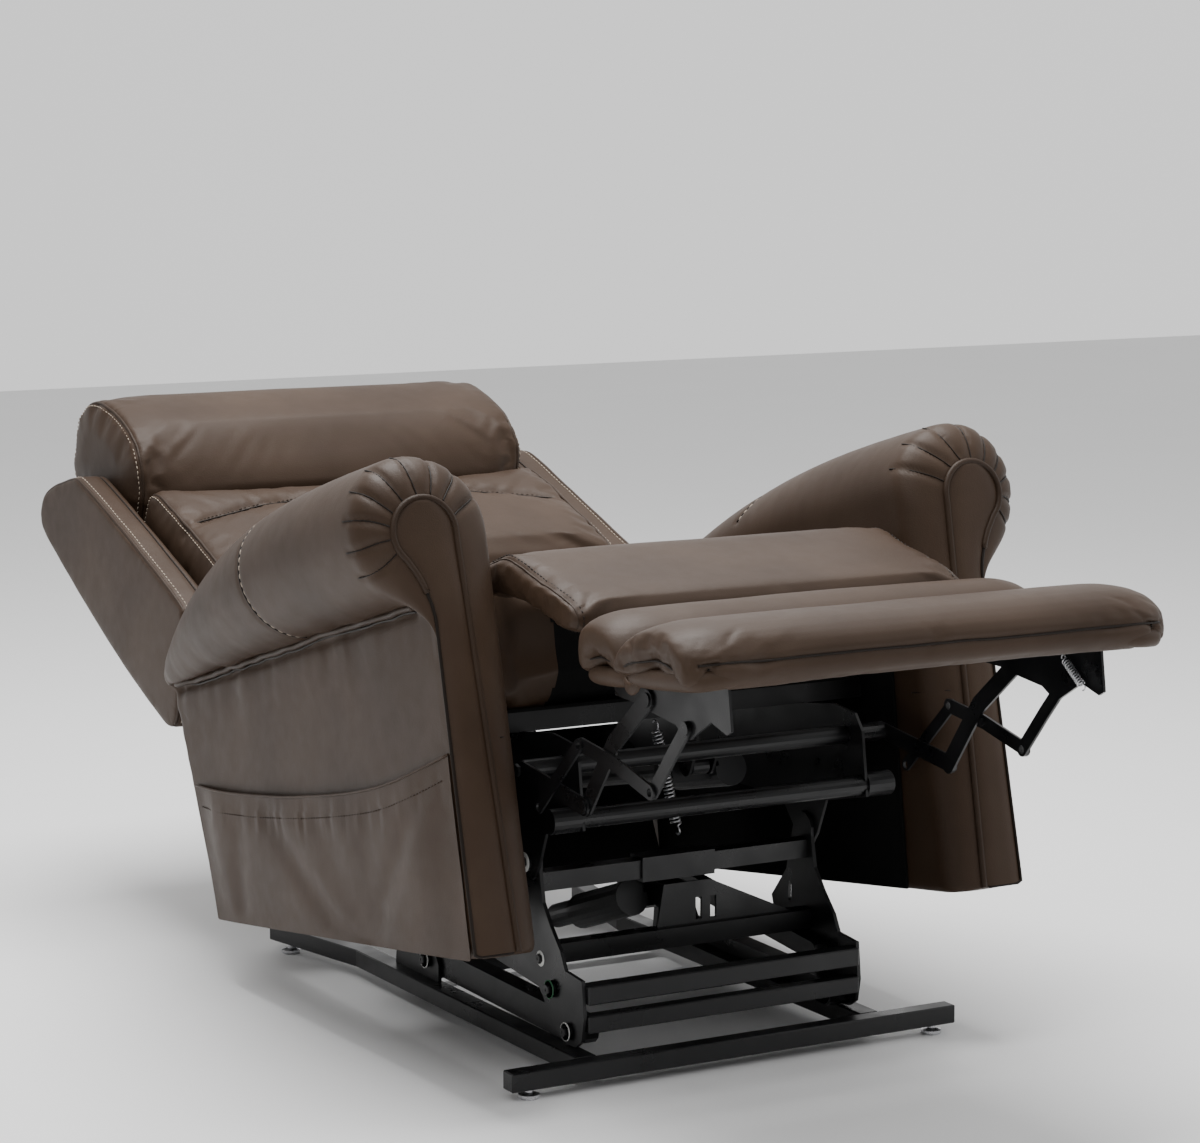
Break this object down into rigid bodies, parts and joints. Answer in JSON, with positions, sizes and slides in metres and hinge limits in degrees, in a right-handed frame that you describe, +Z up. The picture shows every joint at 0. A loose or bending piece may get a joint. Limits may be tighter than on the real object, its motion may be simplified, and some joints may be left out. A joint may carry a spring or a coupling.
{
  "type": "lift recliner chair",
  "caption": "Powered lift recliner chair with rolled arms, reclining winged back, tilting headrest and scissor footrest.",
  "frame": {"origin": "on the floor, under the middle of the box of the whole chair as drawn, with its back down and its footrest out", "axes": "+Z up, the chair faces -Y, +X across its width"},
  "size_m": [0.9722, 1.8876, 0.7807],
  "materials": {
    "leather": "soft grained leather",
    "black_steel": "satin powder coat",
    "chrome": "polished",
    "spring_steel": "zinc plated",
    "black_plastic": "matt",
    "board": "painted black",
    "black_cloth": "woven"
  },
  "bodies": {
    "base": {"base_front_bar": "black_steel", "base_rail_left": "black_steel", "base_rail_right": "black_steel", "base_bracket_left": "black_steel", "base_bracket_right": "black_steel", "base_rear_bar": "black_steel", "levelling_foot_front_left": "chrome", "levelling_foot_front_right": "chrome", "levelling_foot_rear_left": "chrome", "levelling_foot_rear_right": "chrome"},
    "lift_arms": {"lift_arm_left": "black_steel", "lift_arm_right": "black_steel"},
    "upper_arms": {"upper_arm_left": "black_steel", "upper_arm_right": "black_steel"},
    "lift_plates": {"lift_plate_left": "black_steel", "lift_plate_right": "black_steel", "lift_front_tube": "black_steel", "lift_lower_tube": "black_steel", "lift_upper_tube": "black_steel", "lift_rear_tube": "black_steel"},
    "lift_motor": {"lift_motor": "black_plastic"},
    "lift_rod": {"lift_rod": "chrome"},
    "seat": {"seat_side_left": "black_steel", "seat_side_right": "black_steel", "arm_left": "leather", "arm_right": "leather", "arm_liner_left": "black_cloth", "arm_liner_right": "black_cloth", "seat_front_rail": "black_steel", "seat_rear_rail": "black_steel", "seat_front_tube": "black_steel", "balance_spring": "spring_steel", "seat_cushion": "leather", "side_pocket": "leather", "seat_deck": "black_cloth", "rear_valance": "black_cloth"},
    "recline_motor": {"recline_motor": "black_plastic"},
    "recline_rod": {"recline_rod": "chrome"},
    "back": {"back_frame": "black_steel", "lumbar_cushion": "leather", "back_cushion": "leather", "back_cover": "leather", "back_wing_left": "leather", "back_wing_right": "leather"},
    "headrest": {"headrest": "leather"},
    "footrest_drive": {"footrest_drive": "black_steel"},
    "long_links": {"long_link_left": "black_steel", "long_link_right": "black_steel"},
    "back_links": {"back_link_left": "black_steel", "back_link_right": "black_steel"},
    "cross_links": {"cross_link_left": "black_steel", "cross_link_right": "black_steel"},
    "front_links": {"front_link_left": "black_steel", "front_link_right": "black_steel"},
    "platform": {"footrest_rail_left": "black_steel", "footrest_rail_right": "black_steel", "footrest_board": "board", "middle_pad": "leather", "front_pad": "leather"},
    "thigh_pad": {"thigh_pad": "leather"}
  },
  "joints": [
    {"name": "lift", "type": "hinge", "parent": "base", "child": "lift_arms", "pos_m": [0, -0.039, 0.062], "axis": [-1, 0, 0], "range_deg": [0, 40]},
    {"name": "upper_arms_follow", "type": "hinge", "parent": "base", "child": "upper_arms", "pos_m": [0, 0.011, 0.1365], "axis": [-1, 0, 0], "range_deg": [0, 41]},
    {"name": "lift_plates_follow", "type": "hinge", "parent": "lift_arms", "child": "lift_plates", "pos_m": [0, -0.431, 0.055], "axis": [1, 0, 0], "range_deg": [0, 61]},
    {"name": "lift_motor_follow", "type": "hinge", "parent": "lift_plates", "child": "lift_motor", "pos_m": [0, -0.309, 0.19], "axis": [-1, 0, 0], "range_deg": [0, 56]},
    {"name": "lift_rod_follow", "type": "slide", "parent": "lift_motor", "child": "lift_rod", "axis": [0, 0.9468, -0.3219], "range_m": [0, 0.15]},
    {"name": "seat_tilt_follow", "type": "hinge", "parent": "lift_plates", "child": "seat", "pos_m": [0, -0.334, 0.253], "axis": [1, 0, 0], "range_deg": [0, 14.5]},
    {"name": "recline", "type": "hinge", "parent": "seat", "child": "back", "pos_m": [0, 0.14779, 0.36212], "axis": [1, 0, 0], "range_deg": [0, 50]},
    {"name": "recline_motor_follow", "type": "hinge", "parent": "seat", "child": "recline_motor", "pos_m": [0, -0.29906, 0.34413], "axis": [1, 0, 0], "range_deg": [0, 7]},
    {"name": "recline_rod_follow", "type": "slide", "parent": "recline_motor", "child": "recline_rod", "axis": [0, 0.9769, -0.2139], "range_m": [0, 0.086]},
    {"name": "headrest_tilt", "type": "hinge", "parent": "back", "child": "headrest", "pos_m": [0, 0.65932, 0.63344], "axis": [1, 0, 0], "range_deg": [0, 35]},
    {"name": "footrest", "type": "hinge", "parent": "seat", "child": "footrest_drive", "pos_m": [0, -0.42362, 0.39193], "axis": [1, 0, 0], "range_deg": [0, 66]},
    {"name": "long_links_follow", "type": "hinge", "parent": "footrest_drive", "child": "long_links", "pos_m": [0, -0.57971, 0.37348], "axis": [-1, 0, 0], "range_deg": [0, 107]},
    {"name": "back_links_follow", "type": "hinge", "parent": "footrest_drive", "child": "back_links", "pos_m": [0, -0.50372, 0.38249], "axis": [-1, 0, 0], "range_deg": [0, 107]},
    {"name": "cross_links_follow", "type": "hinge", "parent": "long_links", "child": "cross_links", "pos_m": [0, -0.6493, 0.4388], "axis": [1, 0, 0], "range_deg": [0, 107]},
    {"name": "platform_follow", "type": "hinge", "parent": "long_links", "child": "platform", "pos_m": [0, -0.72303, 0.5249], "axis": [1, 0, 0], "range_deg": [0, 107]},
    {"name": "front_links_follow", "type": "hinge", "parent": "platform", "child": "front_links", "pos_m": [0, -0.80968, 0.50476], "axis": [-1, 0, 0], "range_deg": [0, 107]},
    {"name": "thigh_pad_follow", "type": "hinge", "parent": "seat", "child": "thigh_pad", "pos_m": [0, -0.3725, 0.61196], "axis": [-1, 0, 0], "range_deg": [0, 22.5]}
  ],
  "couplings": [
    {"joint": "upper_arms_follow", "follows": "lift", "ratio": 1.0063},
    {"joint": "lift_plates_follow", "follows": "lift", "ratio": 1.5},
    {"joint": "lift_motor_follow", "follows": "lift", "ratio": 1.3612},
    {"joint": "lift_rod_follow", "follows": "lift", "m_per_rad": 0.21142},
    {"joint": "seat_tilt_follow", "follows": "lift", "ratio": 0.35},
    {"joint": "recline_motor_follow", "follows": "recline", "ratio": 0.12274},
    {"joint": "recline_rod_follow", "follows": "recline", "m_per_rad": 0.096177},
    {"joint": "long_links_follow", "follows": "footrest", "ratio": 1.6056},
    {"joint": "back_links_follow", "follows": "footrest", "ratio": 1.6056},
    {"joint": "cross_links_follow", "follows": "footrest", "ratio": 1.6056},
    {"joint": "platform_follow", "follows": "footrest", "ratio": 1.6056},
    {"joint": "front_links_follow", "follows": "footrest", "ratio": 1.6056},
    {"joint": "thigh_pad_follow", "follows": "footrest", "ratio": 0.33333}
  ]
}
